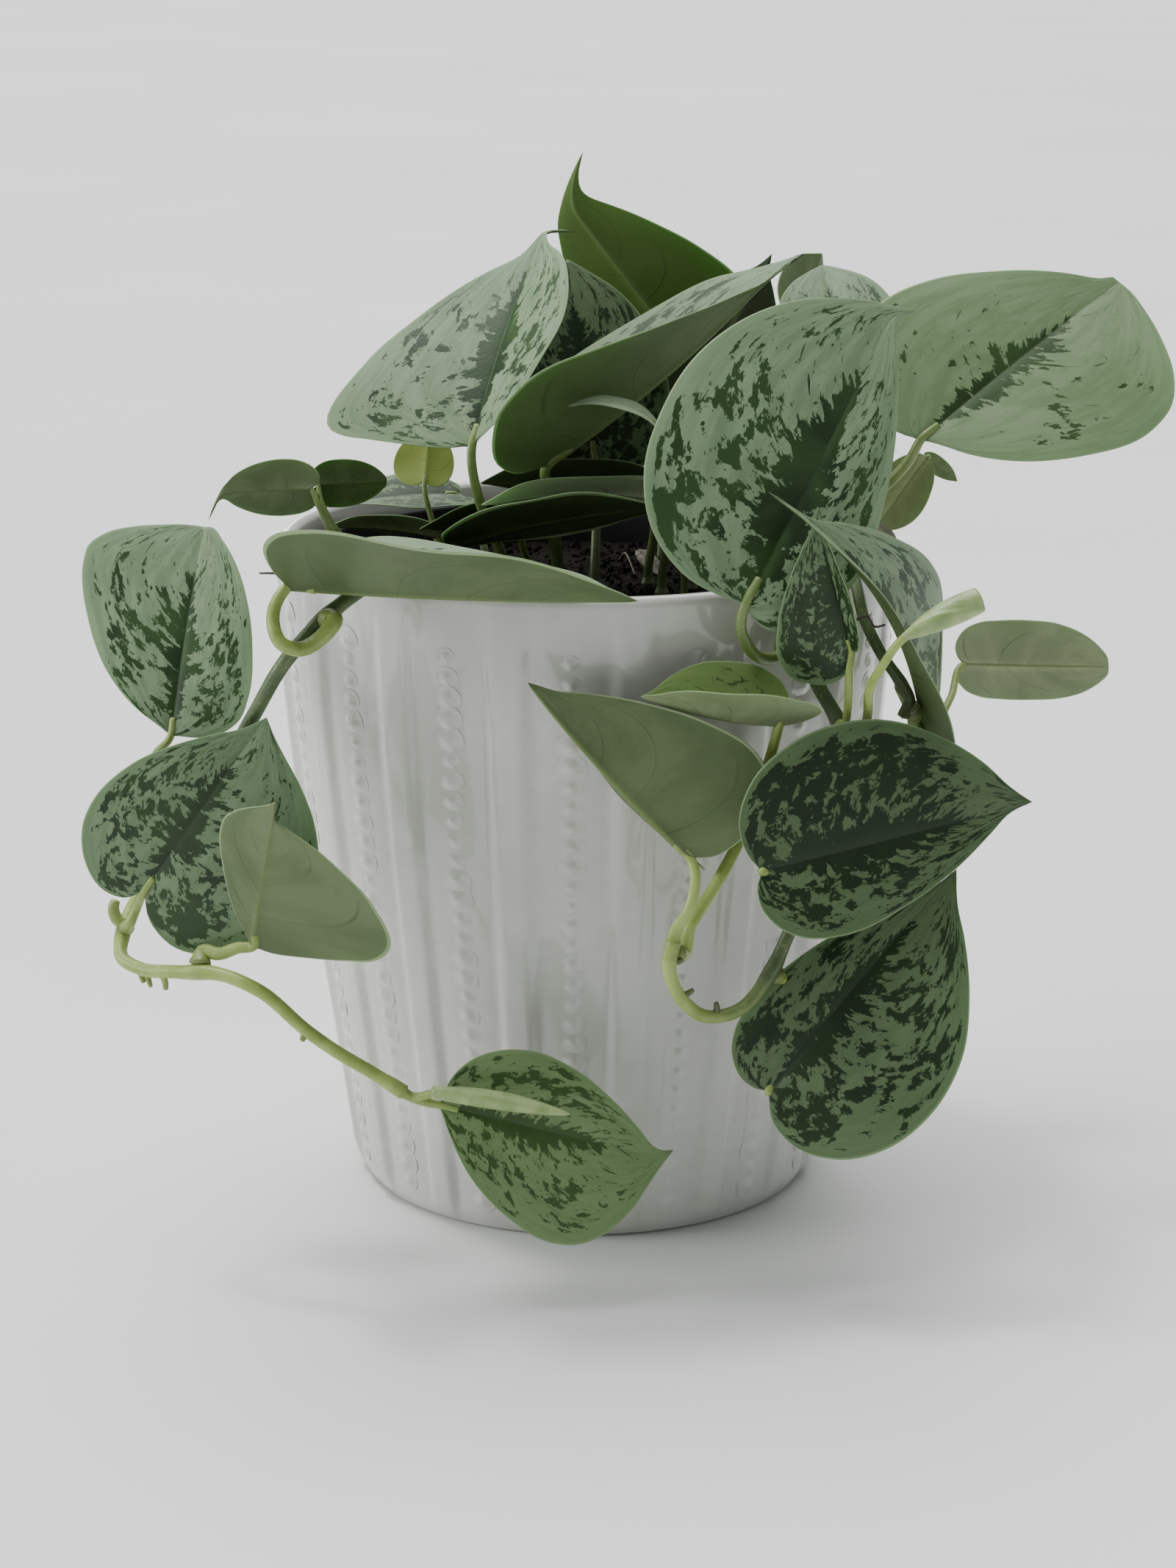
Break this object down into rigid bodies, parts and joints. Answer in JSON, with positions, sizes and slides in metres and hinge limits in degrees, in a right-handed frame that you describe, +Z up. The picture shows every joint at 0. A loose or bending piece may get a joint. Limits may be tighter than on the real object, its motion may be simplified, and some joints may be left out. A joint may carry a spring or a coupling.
{
  "type": "potted satin pothos",
  "caption": "Satin pothos with silver-marked leaves and trailing vines, growing in a ribbed, beaded glazed pot over an inner nursery pot.",
  "frame": {"origin": "centre of the pot's flat base", "axes": "+Z up, -Y toward the front of the plant, +X to the right seen from the front"},
  "size_m": [0.2821, 0.2087, 0.2737],
  "materials": {
    "glaze": "gloss",
    "nursery_plastic": "satin",
    "potting_soil": "matte",
    "stem": "satin",
    "silver_leaf": "satin",
    "young_leaf": "satin",
    "withered_leaf": "matte"
  },
  "bodies": {
    "root": {"pot": "glaze", "nursery_pot": "nursery_plastic", "soil": "potting_soil", "vine_left": "stem", "vine_right": "stem", "vine_right_short": "stem", "leaf_crown_left": "silver_leaf", "leaf_crown_back": "silver_leaf", "leaf_crown_folded": "silver_leaf", "leaf_crown_shaded": "silver_leaf", "leaf_crown_centre": "silver_leaf", "leaf_curled_strip": "silver_leaf", "leaf_front_right": "silver_leaf", "leaf_tucked_dark": "silver_leaf", "leaf_drooping": "silver_leaf", "leaf_right_pale": "silver_leaf", "leaf_right_large": "silver_leaf", "leaf_back_right": "silver_leaf", "leaf_back_far": "silver_leaf", "leaf_right_olive": "silver_leaf", "leaf_right_tiny": "silver_leaf", "leaf_withered": "withered_leaf", "leaf_left_small": "silver_leaf", "leaf_left_round": "silver_leaf", "leaf_rim_long": "silver_leaf", "leaf_left_upper": "silver_leaf", "leaf_left_middle": "silver_leaf", "leaf_left_pale": "silver_leaf", "leaf_vine_end": "silver_leaf", "leaf_hanging_pale": "silver_leaf", "leaf_hanging_dark": "silver_leaf", "leaf_hanging_low": "silver_leaf", "leaf_young_edge": "silver_leaf", "leaf_inner_front": "silver_leaf", "leaf_inner_strip": "silver_leaf", "leaf_inner_dark": "silver_leaf", "leaf_inner_left": "silver_leaf", "leaf_inner_low": "silver_leaf", "leaf_inner_yellow": "silver_leaf", "leaf_inner_back": "silver_leaf", "leaf_rolled_right": "young_leaf", "leaf_rolled_left": "young_leaf"}
  },
  "joints": []
}
